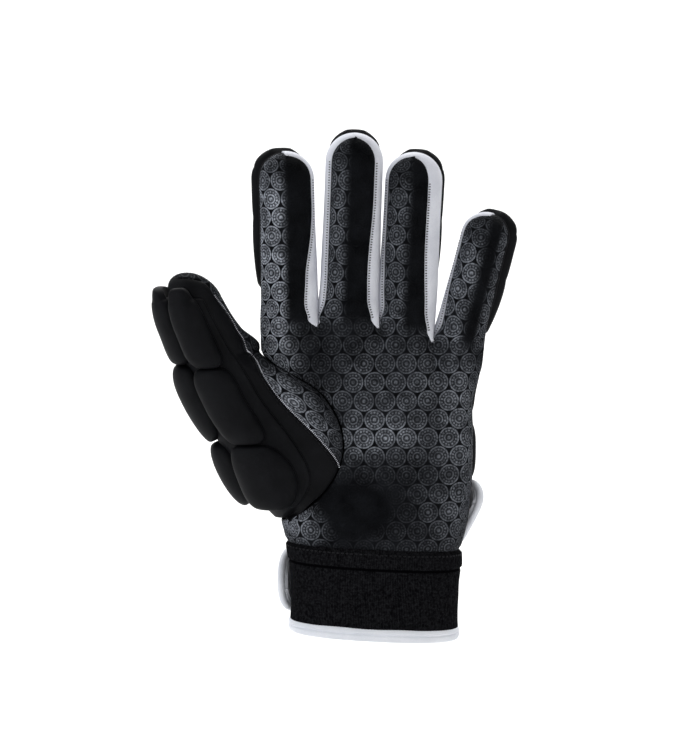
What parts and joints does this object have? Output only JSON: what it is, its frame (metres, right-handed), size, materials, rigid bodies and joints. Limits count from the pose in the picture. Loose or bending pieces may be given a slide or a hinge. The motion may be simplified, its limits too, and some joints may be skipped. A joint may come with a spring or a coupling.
{
  "type": "field hockey glove",
  "caption": "Left-hand padded field hockey glove with printed palm, foam blocks on thumb, fingers and back, ribbed cuff with bound mouth, and a wrist strap.",
  "frame": {"origin": "middle of the cuff's mouth, where the wrist goes in", "axes": "+Z along the fingers, +X towards the little finger, -Y out of the palm"},
  "size_m": [0.1791, 0.0779, 0.2484],
  "materials": {
    "printed_fabric": "matte black synthetic palm fabric with a grey rubbery print of round dots",
    "black_fabric": "smooth black knit laminated on foam, soft sheen",
    "white_fabric": "smooth white stretch fabric between the fingers",
    "rib_knit": "black ribbed elastic wrist band",
    "white_binding": "white rounded binding and piping with a satin face"
  },
  "bodies": {
    "root": {"back_panel": "black_fabric", "cuff_band": "rib_knit", "cuff_binding": "white_binding", "fourchette_index_middle": "white_fabric", "fourchette_middle_ring": "white_fabric", "fourchette_ring_little": "white_fabric", "hand_pad_index": "black_fabric", "hand_pad_little": "black_fabric", "hand_pad_middle": "black_fabric", "hand_pad_ring": "black_fabric", "index_back_pad": "black_fabric", "knuckle_pad_index": "black_fabric", "knuckle_pad_little": "black_fabric", "knuckle_pad_middle": "black_fabric", "knuckle_pad_ring": "black_fabric", "little_back_pad": "black_fabric", "middle_back_pad": "black_fabric", "palm_panel": "printed_fabric", "ring_back_pad": "black_fabric", "strap_piping": "white_binding", "thumb_back_panel": "black_fabric", "thumb_pad_base": "black_fabric", "thumb_pad_front_1": "black_fabric", "thumb_pad_front_2": "black_fabric", "thumb_pad_front_3": "black_fabric", "thumb_pad_rear_1": "black_fabric", "thumb_pad_rear_2": "black_fabric", "thumb_pad_rear_3": "black_fabric", "thumb_palm_panel": "printed_fabric", "wrist_strap": "black_fabric"}
  },
  "joints": []
}
